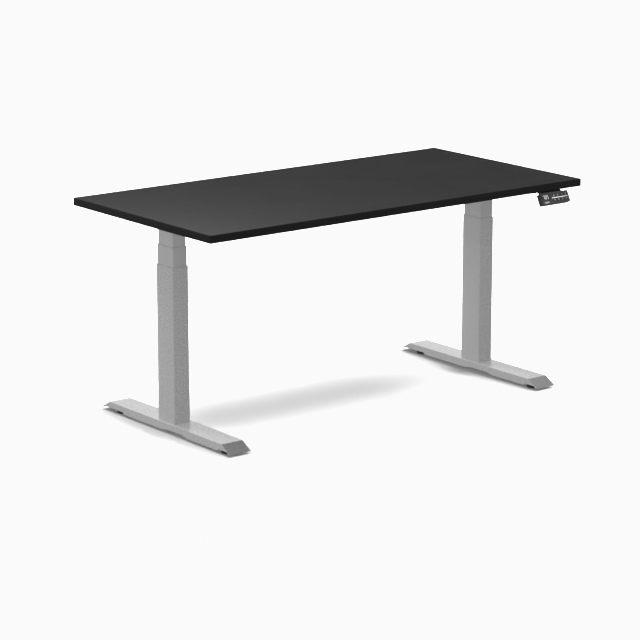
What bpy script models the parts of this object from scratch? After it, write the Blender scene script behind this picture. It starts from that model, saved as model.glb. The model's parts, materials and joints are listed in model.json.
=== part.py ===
"""Height-adjustable standing desk on two three-stage telescopic columns.

Metres, +Z up. The user stands on the -Y side and the control panel is on their right, +X.
The origin is on the floor, at the centre of the desk's whole footprint.
"""

import math

import bmesh
import bpy
from mathutils import Vector

# Tabletop
TOP_WIDTH = 1.5
TOP_DEPTH = 0.75
TOP_THICKNESS = 0.025
DESK_HEIGHT = 0.705
UNDERSIDE = DESK_HEIGHT - TOP_THICKNESS

# Columns: the widest tube stands on the foot and the slimmest one carries the top
LEG_X = 0.63
WALL = 0.0015
TUBE_CORNER = 0.003
OUTER_SIZE = (0.060, 0.090)
MIDDLE_SIZE = (0.055, 0.085)
INNER_SIZE = (0.050, 0.080)
OUTER_TOP = 0.536
MIDDLE_BOTTOM = 0.105
MIDDLE_TOP = 0.5995
INNER_BOTTOM = 0.165
INNER_TOP = 0.672
GUIDE_LENGTH = 0.040
GUIDE_RECESS = 0.001
GUIDE_CORNER = 0.0015
FLANGE_CORNER = 0.0012

# Feet: a folded channel with sloped ends, open below
FOOT_WIDTH = 0.080
FOOT_TOP = 0.034
FOOT_SHEET = 0.003
FOOT_FLAT = 0.310
FOOT_SLOPE_RUN = 0.043
FOOT_TIP = 0.0085
FLANGE_BOTTOM = 0.009
ARCH_TOP = 0.0146
FRONT_RELIEF = (0.294, 0.0150)
REAR_RELIEF = (0.232, 0.0147)
ARCH = (-0.125, -0.100, -0.018, 0.010)
BOSS_RADIUS = 0.009
BOSS_BOTTOM = 0.0125
THREAD_RADIUS = 0.0043
THREAD_TOP = 0.0305
BOLT_HOLE_RADIUS = 0.0045
BOLT_RADIUS = 0.0034
GLIDES = (("front", -0.2995), ("rear", 0.2755))
GLIDE_PROFILE = (
    (0.0, 0.0295),
    (0.0040, 0.0295),
    (0.0040, 0.0105),
    (0.0085, 0.0105),
    (0.0085, 0.0088),
    (0.0250, 0.0080),
    (0.0275, 0.0020),
    (0.0265, 0.0),
    (0.0, 0.0),
)

# Screw drive inside each column
BASE_PLATE_THICKNESS = 0.008
BASE_BOLTS = [(bolt_x, bolt_y) for bolt_x in (-0.019, 0.019) for bolt_y in (-0.032, 0.032)]
NUT_TOP = 0.390
NUT_HEIGHT = 0.025
SCREW_BOTTOM = 0.088
CAP_BOTTOM = 0.435
CAP_TOP = 0.450
SPINDLE_BOTTOM = 0.145
GEARBOX_BOTTOM = 0.520
MOTOR_BOTTOM = 0.575
MOTOR_TOP = 0.640
PUSH_RADIUS = 0.0140
PUSH_BORE = 0.0115
NUT_BORE = 0.0103
SCREW_RADIUS = 0.0100
SCREW_BORE = 0.0070
SLEEVE_RADIUS = 0.0170
SLEEVE_BORE = 0.0149
DRAG_BORE = 0.0150
DRAG_THICKNESS = 0.012
DRAG_WELD = 0.006
SPINDLE_RADIUS = 0.0060
SPINDLE_BORE = 0.0064
SPINDLE_TIP = 0.0050
GEARBOX_RADIUS = 0.0190
GEARBOX_FLANGE = 0.006
MOTOR_RADIUS = 0.0180
BUNG_RADIUS = 0.0080
SLIDE_GAP = 0.0001
LEAD_SLOT = (0.008, 0.656, 0.6715)

# Frame under the top
BRACKET_SHEET = 0.003
BRACKET_HEIGHT = 0.021
BRACKET_FLAT = 0.262
BRACKET_RUN = 0.018
BRACKET_HALF_WIDTH = 0.040
BRACKET_TOP = UNDERSIDE - 0.0004
CAVITY_REACH = 0.300
BRACKET_PORT = (0.009, 0.6553, 0.6715)
HEAD_BOTTOM = 0.648
COLLAR_TOP = 0.674
COLLAR_SIZE = (0.060, 0.090)
HEAD_HALF = (0.036, 0.075)
RAIL_Y = 0.100
RAIL_OUTER = (0.040, 0.025)
RAIL_INNER = (0.0354, 0.0204)
RAIL_WALL = 0.002
RAIL_OVERLAP = 0.120
RAIL_DROP = 0.0005
BOX_SIZE = (0.220, 0.100, 0.034)
BOX_WALL = 0.002
LID_THICKNESS = 0.0025
LEAD_PORT_RADIUS = 0.0036
INLET_HALF = (0.0135, 0.0100)
INLET_RECESS_HALF = (0.0112, 0.0078)
INLET_PROUD = 0.002
INLET_DEPTH = 0.018
INLET_RECESS_DEPTH = 0.014
INLET_RISE = 0.0165
INLET_Y = -0.024
LEAD_PORT_Y = 0.026
HANDSET_PORT_Y = -0.026
LEAD_Z = 0.6645

# Control panel under the front edge
FACE_X = 0.622
FACE_WIDTH = 0.122
FACE_HEIGHT = 0.040
FACE_TOP_Y = -0.380
FACE_TOP_DROP = 0.003
FACE_TILT = math.radians(63)
FACE_CORNER = 0.0038
NECK_HALF_WIDTH = 0.044
NECK_FRONT = 0.362
NECK_BACK = 0.300
NECK_SHEET = 0.0035
CASE_THICKNESS = 0.0190
PANEL_THICKNESS = 0.0012
PANEL_RIM = 0.0005
KEY_SIZE = (0.0142, 0.0110)
KEY_PITCH = 0.0168
KEY_FIRST_X = -0.0045
KEY_ROW_Y = 0.0078
KEY_PROUD = 0.0004
KEY_THICKNESS = 0.0026
KEY_POCKET = 0.0040
KEY_CORNER = 0.0012
KEY_COLUMNS = 4

# Leads
MOTOR_LEAD_RADIUS = 0.0025
HANDSET_LEAD_RADIUS = 0.0020
LEAD_IN_BOX = 0.006

GAP = 0.0003
CUT_PAST = 0.010
ROUND_STEPS = 24

# The panel's lower edge is the desk's foremost point, so the desk stands half its reach back
PANEL_REACH = (FACE_HEIGHT - PANEL_RIM) * math.cos(FACE_TILT) - FACE_TOP_Y - TOP_DEPTH / 2
HOME_Y = PANEL_REACH / 2


def clear_scene():
    for obj in list(bpy.data.objects):
        bpy.data.objects.remove(obj)


def make_collection(name):
    collection = bpy.data.collections.new(name)
    bpy.context.scene.collection.children.link(collection)
    return collection


def make_material(name, colour, roughness, metallic=0.0):
    material = bpy.data.materials.new(name)
    material.use_nodes = True
    shader = material.node_tree.nodes["Principled BSDF"]
    shader.inputs["Base Color"].default_value = (*colour, 1.0)
    shader.inputs["Roughness"].default_value = roughness
    shader.inputs["Metallic"].default_value = metallic
    return material


def make_empty(name, location, parent=None):
    empty = bpy.data.objects.new(name, None)
    empty.location = location
    empty.parent = parent
    PARTS.objects.link(empty)
    return empty


def add_object(name, data, material, parent, location=(0, 0, 0), rotation=(0, 0, 0)):
    """An object of the desk, or a cutter when it has no material."""
    obj = bpy.data.objects.new(name, data)
    obj.location = location
    obj.rotation_euler = rotation
    obj.parent = parent
    if material:
        data.materials.append(material)
        PARTS.objects.link(obj)
    else:
        CUTTERS.objects.link(obj)
        obj.hide_render = True
        obj.display_type = "WIRE"
    return obj


def box_between(name, low, high, material=None, parent=None, bevel=0.0):
    """A box given by its lowest and highest corners, with its origin at its centre."""
    low, high = Vector(low), Vector(high)
    mesh = bpy.data.meshes.new(name)
    shape = bmesh.new()
    bmesh.ops.create_cube(shape, size=1.0)
    bmesh.ops.scale(shape, vec=high - low, verts=shape.verts)
    shape.to_mesh(mesh)
    shape.free()
    obj = add_object(name, mesh, material, parent, (low + high) / 2)
    if bevel:
        edge = obj.modifiers.new("rounded edges", "BEVEL")
        edge.width = bevel
        edge.segments = 2
    return obj


def rod_cutter(name, radius, start, end, parent, steps=16):
    """A cylinder from one point to another, used to drill a hole or to weld on a boss."""
    start, end = Vector(start), Vector(end)
    mesh = bpy.data.meshes.new(name)
    shape = bmesh.new()
    bmesh.ops.create_cone(
        shape,
        cap_ends=True,
        segments=steps,
        radius1=radius,
        radius2=radius,
        depth=(end - start).length,
    )
    shape.to_mesh(mesh)
    shape.free()
    obj = add_object(name, mesh, None, parent, (start + end) / 2)
    obj.rotation_euler = (end - start).to_track_quat("Z", "Y").to_euler()
    return obj


def boolean(target, other, operation="DIFFERENCE"):
    modifier = target.modifiers.new(other.name, "BOOLEAN")
    modifier.operation = operation
    modifier.object = other


def rectangle(size_x, size_y, corner=0.0, centre=(0.0, 0.0), arc_steps=4):
    """The points of a rectangle with round corners, anticlockwise."""
    half_x, half_y = size_x / 2 - corner, size_y / 2 - corner
    if not corner:
        return [
            (centre[0] + sx * half_x, centre[1] + sy * half_y)
            for sx, sy in ((1, 1), (-1, 1), (-1, -1), (1, -1))
        ]
    points = []
    for turn, (sx, sy) in enumerate(((1, 1), (-1, 1), (-1, -1), (1, -1))):
        for step in range(arc_steps + 1):
            angle = math.pi / 2 * (turn + step / arc_steps)
            points.append(
                (
                    centre[0] + sx * half_x + corner * math.cos(angle),
                    centre[1] + sy * half_y + corner * math.sin(angle),
                )
            )
    return points


def circle(radius, centre=(0.0, 0.0), steps=ROUND_STEPS):
    angles = [2 * math.pi * step / steps for step in range(steps)]
    return [(centre[0] + radius * math.cos(a), centre[1] + radius * math.sin(a)) for a in angles]


def prism(name, outlines, low, high, material, parent, location=(0, 0, 0), rotation=(0, 0, 0)):
    """Flat outlines, the first one outside and the rest holes, drawn out from low to high on local Z."""
    curve = bpy.data.curves.new(name, "CURVE")
    curve.dimensions = "2D"
    curve.fill_mode = "BOTH"
    curve.extrude = (high - low) / 2
    for outline in outlines:
        spline = curve.splines.new("POLY")
        spline.points.add(len(outline) - 1)
        for point, (x, y) in zip(spline.points, outline):
            point.co = (x, y, 0.0, 1.0)
        spline.use_cyclic_u = True
    obj = add_object(name, curve, material, parent, location, rotation)
    middle = Vector((0.0, 0.0, (high + low) / 2))
    middle.rotate(obj.rotation_euler)
    obj.location += middle
    return obj


def side_prism(name, outline, half_width, material, parent, x=0.0):
    """A prism whose outline is in the desk's Y and Z and whose length runs along X."""
    upright = (math.pi / 2, 0.0, math.pi / 2)
    return prism(name, [outline], -half_width, half_width, material, parent, (x, 0, 0), upright)


def as_mesh(obj):
    """The same object as a welded mesh, so that it can be cut, joined or used as a cutter."""
    bpy.context.view_layer.update()
    evaluated = obj.evaluated_get(bpy.context.evaluated_depsgraph_get())
    mesh = bpy.data.meshes.new_from_object(evaluated)
    shape = bmesh.new()
    shape.from_mesh(mesh)
    bmesh.ops.remove_doubles(shape, verts=shape.verts, dist=1e-6)
    bmesh.ops.recalc_face_normals(shape, faces=shape.faces)
    shape.to_mesh(mesh)
    shape.free()
    name, parent = obj.name, obj.parent
    location, rotation = obj.location.copy(), obj.rotation_euler.copy()
    material = mesh.materials[0] if mesh.materials else None
    mesh.materials.clear()
    bpy.data.objects.remove(obj)
    return add_object(name, mesh, material, parent, location, rotation)


def turned(name, profile, material, parent, steps=ROUND_STEPS):
    """A round piece on the parent's Z axis: (radius, z) points, down the outer side first."""
    mesh = bpy.data.meshes.new(name)
    closed = profile[0][0] > 0 and profile[-1][0] > 0
    edges = [(i, i + 1) for i in range(len(profile) - 1)]
    if closed:
        edges.append((len(profile) - 1, 0))
    mesh.from_pydata([(radius, 0.0, z) for radius, z in profile], edges, [])
    obj = add_object(name, mesh, material, parent)
    screw = obj.modifiers.new("turned", "SCREW")
    screw.steps = steps
    screw.render_steps = steps
    screw.use_merge_vertices = True
    screw.merge_threshold = 1e-5
    screw.use_smooth_shade = True
    split = obj.modifiers.new("sharp steps", "EDGE_SPLIT")
    split.split_angle = math.radians(40)
    return obj


def ring(outer, inner, low, high):
    """The profile of a plain round tube."""
    return [(outer, high), (outer, low), (inner, low), (inner, high)]


def rectangular_tube(name, size, wall, low, high, material, parent, corner=TUBE_CORNER):
    inside = rectangle(size[0] - 2 * wall, size[1] - 2 * wall, max(corner - wall, 0.0005))
    return prism(name, [rectangle(*size, corner), inside], low, high, material, parent)


def channel_end(run, height, wall):
    """How far the inner face of a sloped end stands inside the outer one, along the channel."""
    return wall * math.hypot(run, height) / height


def foot_outline():
    """The side view of a foot: flat top, sloped ends, reliefs over the pads and one arch."""
    end = FOOT_FLAT + FOOT_SLOPE_RUN
    slope = FOOT_SLOPE_RUN / (FOOT_TOP - FOOT_TIP)
    inset = channel_end(FOOT_SLOPE_RUN, FOOT_TOP - FOOT_TIP, FOOT_SHEET)
    inner_tip = end - inset - GAP

    def half(relief):
        start, height = relief
        return [
            (start - (height - FLANGE_BOTTOM), FLANGE_BOTTOM),
            (start, height),
            (inner_tip - (height - FOOT_TIP) * slope, height),
            (inner_tip, FOOT_TIP),
            (end, FOOT_TIP),
            (FOOT_FLAT, FOOT_TOP),
        ]

    rear = half(REAR_RELIEF)
    front = [(-y, z) for y, z in reversed(half(FRONT_RELIEF))]
    arch = [
        (ARCH[0], FLANGE_BOTTOM),
        (ARCH[1], ARCH_TOP),
        (ARCH[2], ARCH_TOP),
        (ARCH[3], FLANGE_BOTTOM),
    ]
    return rear + front + arch


def channel_cavity(flat, run, top, tip, wall, floor):
    """The side view of the space inside a channel with sloped ends, drawn down past its open side."""
    height = top - tip
    inset = channel_end(run, height, wall)
    slope = run / height
    ceiling = top - wall
    high_y = flat + wall * slope - inset
    low_y = flat + (top - floor) * slope - inset
    return [(high_y, ceiling), (-high_y, ceiling), (-low_y, floor), (low_y, floor)]


def make_foot(side, x):
    foot = as_mesh(side_prism(f"{side}_foot", foot_outline(), FOOT_WIDTH / 2, POWDER_COAT, DESK, x))
    cavity_outline = channel_cavity(FOOT_FLAT, FOOT_SLOPE_RUN, FOOT_TOP, FOOT_TIP, FOOT_SHEET, -CUT_PAST)
    inner_half = FOOT_WIDTH / 2 - FOOT_SHEET
    cavity = as_mesh(side_prism(f"{side}_foot_cavity", cavity_outline, inner_half, None, DESK, x))
    boolean(foot, cavity)
    for end, y in GLIDES:
        boss_low, boss_high = (x, y, BOSS_BOTTOM), (x, y, FOOT_TOP - FOOT_SHEET / 2)
        boss = rod_cutter(f"{side}_{end}_boss", BOSS_RADIUS, boss_low, boss_high, DESK)
        boolean(foot, boss, "UNION")
        thread = rod_cutter(f"{side}_{end}_thread", THREAD_RADIUS, (x, y, 0.0), (x, y, THREAD_TOP), DESK)
        boolean(foot, thread)
    for bolt_x, bolt_y in BASE_BOLTS:
        hole_low = (x + bolt_x, bolt_y, FOOT_TOP - CUT_PAST)
        hole_high = (x + bolt_x, bolt_y, FOOT_TOP + CUT_PAST)
        hole = rod_cutter(
            f"{side}_foot_bolt_{bolt_x}_{bolt_y}", BOLT_HOLE_RADIUS, hole_low, hole_high, DESK
        )
        boolean(foot, hole)


def make_glides(side, x):
    """Levelling pads, each on a threaded stud that screws up into the foot."""
    for end, y in GLIDES:
        axis = make_empty(f"{side}_{end}_glide_axis", (x, y, 0), DESK)
        turned(f"{side}_{end}_glide", GLIDE_PROFILE, BLACK_RUBBER, axis)


def make_fixed_stage(side, axis):
    """What stands on the foot: base plate, outer tube, its guide and the fixed part of the drive."""
    inside = (OUTER_SIZE[0] - 2 * WALL, OUTER_SIZE[1] - 2 * WALL)
    low = FOOT_TOP + GAP
    plate_top = low + BASE_PLATE_THICKNESS
    plate_outline = rectangle(inside[0] - 2 * GAP, inside[1] - 2 * GAP, GUIDE_CORNER, arc_steps=2)
    bolt_holes = [circle(BOLT_RADIUS, bolt, 12) for bolt in BASE_BOLTS]
    plate_name = f"{side}_base_plate"
    prism(plate_name, [plate_outline, *bolt_holes], low, plate_top, STEEL, axis)
    rectangular_tube(f"{side}_outer_tube", OUTER_SIZE, WALL, low, OUTER_TOP, POWDER_COAT, axis)
    guide_in_gap(f"{side}_outer_guide", OUTER_SIZE, MIDDLE_SIZE, OUTER_TOP, axis)
    nut_low = NUT_TOP - NUT_HEIGHT
    push_profile = ring(PUSH_RADIUS, PUSH_BORE, plate_top + GAP, nut_low - GAP)
    turned(f"{side}_push_tube", push_profile, STEEL, axis)
    turned(f"{side}_base_nut", ring(PUSH_RADIUS, NUT_BORE, nut_low, NUT_TOP), POLYMER, axis)


def guide_in_gap(name, outer_size, inner_size, top, parent):
    """A thin sliding collar between two tubes, just below the outer one's rim."""
    clear = 2 * (WALL + GAP)
    outline = rectangle(outer_size[0] - clear, outer_size[1] - clear, GUIDE_CORNER, arc_steps=2)
    play = 2 * SLIDE_GAP
    bore = rectangle(inner_size[0] + play, inner_size[1] + play, TUBE_CORNER - 2 * GAP)
    prism(name, [outline, bore], top - GUIDE_LENGTH, top - GUIDE_RECESS, POLYMER, parent)


def make_middle_stage(side, axis):
    rectangular_tube(
        f"{side}_middle_tube", MIDDLE_SIZE, WALL, MIDDLE_BOTTOM, MIDDLE_TOP, POWDER_COAT, axis
    )
    guide_in_gap(f"{side}_middle_guide", MIDDLE_SIZE, INNER_SIZE, MIDDLE_TOP, axis)
    clear = 2 * (WALL + GAP)
    plate_size = (MIDDLE_SIZE[0] - clear, MIDDLE_SIZE[1] - clear)
    plate_outlines = [rectangle(*plate_size, FLANGE_CORNER, arc_steps=2), circle(DRAG_BORE)]
    low, high = MIDDLE_BOTTOM + GAP, MIDDLE_BOTTOM + DRAG_THICKNESS
    drag = as_mesh(prism(f"{side}_drag_tube", plate_outlines, low, high, STEEL, axis))
    sleeve_profile = [
        (SLEEVE_RADIUS, CAP_TOP),
        (SLEEVE_RADIUS, MIDDLE_BOTTOM + DRAG_WELD),
        (SLEEVE_BORE, MIDDLE_BOTTOM + DRAG_WELD),
        (SLEEVE_BORE, CAP_BOTTOM),
        (SPINDLE_BORE, CAP_BOTTOM),
        (SPINDLE_BORE, CAP_TOP),
    ]
    sleeve = turned(f"{side}_drag_sleeve", sleeve_profile, None, axis)
    boolean(drag, sleeve, "UNION")
    screw_axis = make_empty(f"{side}_screw_axis", (0, 0, 0), axis)
    screw_profile = ring(SCREW_RADIUS, SCREW_BORE, SCREW_BOTTOM, CAP_BOTTOM - GAP)
    turned(f"{side}_screw_tube", screw_profile, STEEL, screw_axis)


def make_inner_stage(side, axis, inward):
    """What rides up with the top: inner tube, its shoe, the motor, gearbox, spindle and head."""
    slot_half, slot_bottom, slot_top = LEAD_SLOT
    slot_ends = sorted((inward * CUT_PAST, inward * INNER_SIZE[0]))
    slot_low, slot_high = (slot_ends[0], -slot_half, slot_bottom), (slot_ends[1], slot_half, slot_top)
    slot = box_between(f"{side}_lead_slot", slot_low, slot_high, None, axis)
    tube = rectangular_tube(
        f"{side}_inner_tube", INNER_SIZE, WALL, INNER_BOTTOM, INNER_TOP, POWDER_COAT, axis
    )
    boolean(as_mesh(tube), slot)
    clear = 2 * (WALL + SLIDE_GAP)
    shoe_outline = rectangle(MIDDLE_SIZE[0] - clear, MIDDLE_SIZE[1] - clear, GUIDE_CORNER, arc_steps=2)
    shoe_bore = rectangle(INNER_SIZE[0] + 2 * GAP, INNER_SIZE[1] + 2 * GAP, TUBE_CORNER)
    shoe_top = INNER_BOTTOM + GUIDE_LENGTH
    prism(f"{side}_inner_shoe", [shoe_outline, shoe_bore], INNER_BOTTOM, shoe_top, POLYMER, axis)

    flange_size = (INNER_SIZE[0] - 2 * (WALL + GAP), INNER_SIZE[1] - 2 * (WALL + GAP))
    flange_bore = circle(SPINDLE_BORE - 2 * SLIDE_GAP)
    flange_outlines = [rectangle(*flange_size, FLANGE_CORNER, arc_steps=2), flange_bore]
    flange_top = GEARBOX_BOTTOM + GEARBOX_FLANGE
    gearbox = prism(f"{side}_gearbox", flange_outlines, GEARBOX_BOTTOM, flange_top, ZINC, axis)
    gearbox = as_mesh(gearbox)
    case_profile = [
        (0.0, MOTOR_BOTTOM - GAP),
        (GEARBOX_RADIUS, MOTOR_BOTTOM - GAP),
        (GEARBOX_RADIUS, GEARBOX_BOTTOM + GEARBOX_FLANGE / 2),
        (0.0063, GEARBOX_BOTTOM + GEARBOX_FLANGE / 2),
        (0.0063, GEARBOX_BOTTOM + 0.022),
        (0.0, GEARBOX_BOTTOM + 0.022),
    ]
    case = turned(f"{side}_gearbox_case", case_profile, None, axis)
    boolean(gearbox, case, "UNION")
    motor_profile = [
        (0.0, MOTOR_TOP),
        (BUNG_RADIUS, MOTOR_TOP),
        (BUNG_RADIUS, MOTOR_TOP - 0.004),
        (0.0165, MOTOR_TOP - 0.004),
        (MOTOR_RADIUS, MOTOR_TOP - 0.006),
        (MOTOR_RADIUS, MOTOR_BOTTOM),
        (0.0, MOTOR_BOTTOM),
    ]
    turned(f"{side}_motor", motor_profile, STEEL, axis)
    spindle_axis = make_empty(f"{side}_spindle_axis", (0, 0, 0), axis)
    spindle_profile = [
        (0.0, GEARBOX_BOTTOM + 0.020),
        (SPINDLE_TIP, GEARBOX_BOTTOM + 0.020),
        (SPINDLE_RADIUS, GEARBOX_BOTTOM + 0.018),
        (SPINDLE_RADIUS, SPINDLE_BOTTOM + 0.002),
        (SPINDLE_TIP, SPINDLE_BOTTOM),
        (0.0, SPINDLE_BOTTOM),
    ]
    turned(f"{side}_spindle", spindle_profile, STEEL, spindle_axis)

    bore = rectangle(INNER_SIZE[0] + 2 * GAP, INNER_SIZE[1] + 2 * GAP, TUBE_CORNER)
    outlines = [rectangle(*COLLAR_SIZE, TUBE_CORNER), bore]
    collar = prism(f"{side}_head_collar", outlines, HEAD_BOTTOM, COLLAR_TOP, None, axis)
    plate_low = (-HEAD_HALF[0], -HEAD_HALF[1], INNER_TOP + GAP)
    plate_high = (*HEAD_HALF, BRACKET_TOP - BRACKET_SHEET - GAP)
    plate = box_between(f"{side}_leg_head", plate_low, plate_high, DARK_STEEL, axis)
    collar = as_mesh(collar)
    boolean(collar, slot)
    boolean(plate, collar, "UNION")


def make_side_bracket(side, x, inward):
    """The channel along the leg's head that the top is screwed to."""
    top = BRACKET_TOP
    bottom = top - BRACKET_HEIGHT
    end = BRACKET_FLAT + BRACKET_RUN
    outline = [(BRACKET_FLAT, bottom), (end, top), (-end, top), (-BRACKET_FLAT, bottom)]
    bracket = side_prism(f"{side}_side_bracket", outline, BRACKET_HALF_WIDTH, DARK_STEEL, DESK, x)
    bracket = as_mesh(bracket)
    inner_half = BRACKET_HALF_WIDTH - BRACKET_SHEET
    cavity_low = (x - inner_half, -CAVITY_REACH, bottom - CUT_PAST)
    cavity_high = (x + inner_half, CAVITY_REACH, top - BRACKET_SHEET)
    cavity = box_between(f"{side}_bracket_cavity", cavity_low, cavity_high, None, DESK)
    boolean(bracket, cavity)
    edge = x + inward * BRACKET_HALF_WIDTH
    port_half, port_bottom, port_top = BRACKET_PORT
    port_low = (edge - CUT_PAST, -port_half, port_bottom)
    port_high = (edge + CUT_PAST, port_half, port_top)
    boolean(bracket, box_between(f"{side}_bracket_port", port_low, port_high, None, DESK))


def make_rails():
    """Two telescoping rails join the legs, each made of a wide tube and one that slides in it."""
    centre_z = UNDERSIDE - RAIL_DROP - RAIL_OUTER[1] / 2
    reach = LEG_X - BRACKET_HALF_WIDTH - GAP
    turn = (math.pi / 2, 0.0, math.pi / 2)
    for end, y in (("front", -RAIL_Y), ("rear", RAIL_Y)):
        for side, size, low, high in (
            ("left", RAIL_OUTER, -reach, RAIL_OVERLAP),
            ("right", RAIL_INNER, -RAIL_OVERLAP, reach),
        ):
            inside = rectangle(size[0] - 2 * RAIL_WALL, size[1] - 2 * RAIL_WALL)
            outlines = [rectangle(*size, GUIDE_CORNER, arc_steps=2), inside]
            name = f"{side}_{end}_rail"
            prism(name, outlines, low, high, DARK_STEEL, DESK, (0, y, centre_z), turn)


def make_control_box():
    """The control box between the rails, open below, with its lid and its mains inlet."""
    top = UNDERSIDE - GAP
    bottom = top - BOX_SIZE[2]
    half_x, half_y = BOX_SIZE[0] / 2, BOX_SIZE[1] / 2
    case_low, case_high = (-half_x, -half_y, bottom), (half_x, half_y, top)
    case = box_between("control_box_case", case_low, case_high, BLACK_PLASTIC, DESK, 0.0015)
    room_low = (-half_x + BOX_WALL, -half_y + BOX_WALL, bottom - CUT_PAST)
    room_high = (half_x - BOX_WALL, half_y - BOX_WALL, top - BOX_WALL)
    boolean(case, box_between("control_box_room", room_low, room_high, None, DESK))
    inlet_z = bottom + INLET_RISE
    ports = (
        ("left_lead", -half_x, LEAD_PORT_Y),
        ("right_lead", half_x, LEAD_PORT_Y),
        ("handset", half_x, HANDSET_PORT_Y),
    )
    for name, x, y in ports:
        start, end = (x - CUT_PAST, y, LEAD_Z), (x + CUT_PAST, y, LEAD_Z)
        boolean(case, rod_cutter(f"{name}_port", LEAD_PORT_RADIUS, start, end, DESK, 12))
    inlet_y, inlet_rise = INLET_HALF
    hole_low = (-half_x - CUT_PAST, INLET_Y - inlet_y - GAP, inlet_z - inlet_rise - GAP)
    hole_high = (-half_x + CUT_PAST, INLET_Y + inlet_y + GAP, inlet_z + inlet_rise + GAP)
    boolean(case, box_between("inlet_hole", hole_low, hole_high, None, DESK))

    lid_low = (-half_x, -half_y, bottom - GAP - LID_THICKNESS)
    lid_high = (half_x, half_y, bottom - GAP)
    box_between("control_box_lid", lid_low, lid_high, BLACK_PLASTIC, DESK, 0.0008)

    inlet_low = (-half_x - INLET_PROUD, INLET_Y - inlet_y, inlet_z - inlet_rise)
    inlet_high = (-half_x + INLET_DEPTH, INLET_Y + inlet_y, inlet_z + inlet_rise)
    inlet = box_between("power_inlet", inlet_low, inlet_high, BLACK_PLASTIC, DESK)
    recess_y, recess_rise = INLET_RECESS_HALF
    recess_low = (-half_x - CUT_PAST, INLET_Y - recess_y, inlet_z - recess_rise)
    recess_high = (-half_x + INLET_RECESS_DEPTH, INLET_Y + recess_y, inlet_z + recess_rise)
    boolean(inlet, box_between("inlet_recess", recess_low, recess_high, None, DESK))


def key_centres():
    for row, sign in ((1, 1), (2, -1)):
        for column in range(KEY_COLUMNS):
            yield row, column + 1, KEY_FIRST_X + column * KEY_PITCH, sign * KEY_ROW_Y


def make_handset():
    """The control panel: a tilted case on a neck and mounting plate, a face panel and eight keys."""
    drop = FACE_HEIGHT / 2
    face_y = FACE_TOP_Y - drop * math.cos(FACE_TILT)
    face_z = UNDERSIDE - FACE_TOP_DROP - drop * math.sin(FACE_TILT)
    face = make_empty("handset_face", (FACE_X, face_y, face_z), DESK)
    face.rotation_euler = (FACE_TILT, 0, 0)

    outline = rectangle(FACE_WIDTH, FACE_HEIGHT, FACE_CORNER)
    housing = prism(
        "handset_housing", [outline], -CASE_THICKNESS, -PANEL_THICKNESS - GAP, BLACK_PLASTIC, face
    )
    housing = as_mesh(housing)
    under = UNDERSIDE - GAP
    neck_outline = [
        (-0.376, UNDERSIDE - 0.0110),
        (-0.382, UNDERSIDE - 0.0300),
        (-0.345, UNDERSIDE - NECK_SHEET),
        (-NECK_BACK, UNDERSIDE - NECK_SHEET),
        (-NECK_BACK, under),
        (-NECK_FRONT, under),
    ]
    neck = as_mesh(side_prism("handset_neck", neck_outline, NECK_HALF_WIDTH, None, DESK, FACE_X))
    boolean(housing, neck, "UNION")
    half_key = KEY_SIZE[1] / 2 + GAP
    left = KEY_FIRST_X - KEY_SIZE[0] / 2 - GAP
    right = KEY_FIRST_X + (KEY_COLUMNS - 1) * KEY_PITCH + KEY_SIZE[0] / 2 + GAP
    for sign in (-1, 1):
        row = sign * KEY_ROW_Y
        pocket_low, pocket_high = (left, row - half_key, -KEY_POCKET), (right, row + half_key, CUT_PAST)
        boolean(housing, box_between(f"key_pocket_{sign}", pocket_low, pocket_high, None, face))

    opening = (KEY_SIZE[0] + 2 * GAP, KEY_SIZE[1] + 2 * GAP)
    openings = [rectangle(*opening, KEY_CORNER, (x, y), 2) for _, _, x, y in key_centres()]
    panel_size = (FACE_WIDTH - 2 * PANEL_RIM, FACE_HEIGHT - 2 * PANEL_RIM)
    panel_outline = rectangle(*panel_size, FACE_CORNER - PANEL_RIM)
    prism("handset_panel", [panel_outline, *openings], -PANEL_THICKNESS, 0, GLOSS_BLACK, face)

    for row, column, x, y in key_centres():
        key_outline = rectangle(*KEY_SIZE, KEY_CORNER, arc_steps=2)
        key_bottom = KEY_PROUD - KEY_THICKNESS
        name = f"key_{row}_{column}"
        key_home = make_empty(f"{name}_home", (x, y, 0), face)
        prism(name, [key_outline], key_bottom, KEY_PROUD, GLOSS_BLACK, key_home)


def smooth_route(points, spacing):
    """Evenly spaced points on a smooth curve through the given ones."""
    points = [Vector(p) for p in points]
    ends = [2 * points[0] - points[1], *points, 2 * points[-1] - points[-2]]
    route = [points[0]]
    for before, start, end, after in zip(ends, ends[1:], ends[2:], ends[3:]):
        steps = max(1, round((end - start).length / spacing))
        for step in range(1, steps + 1):
            t = step / steps
            route.append(
                0.5
                * (
                    2 * start
                    + (end - before) * t
                    + (2 * before - 5 * start + 4 * end - after) * t**2
                    + (3 * start - before - 3 * end + after) * t**3
                )
            )
    return route


def make_cable(name, points, radius, spacing):
    curve = bpy.data.curves.new(name, "CURVE")
    curve.dimensions = "3D"
    curve.bevel_depth = radius
    curve.bevel_resolution = 2
    curve.use_fill_caps = True
    route = smooth_route(points, spacing)
    spline = curve.splines.new("POLY")
    spline.points.add(len(route) - 1)
    for point, place in zip(spline.points, route):
        point.co = (*place, 1.0)
    add_object(name, curve, BLACK_RUBBER, DESK)


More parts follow.
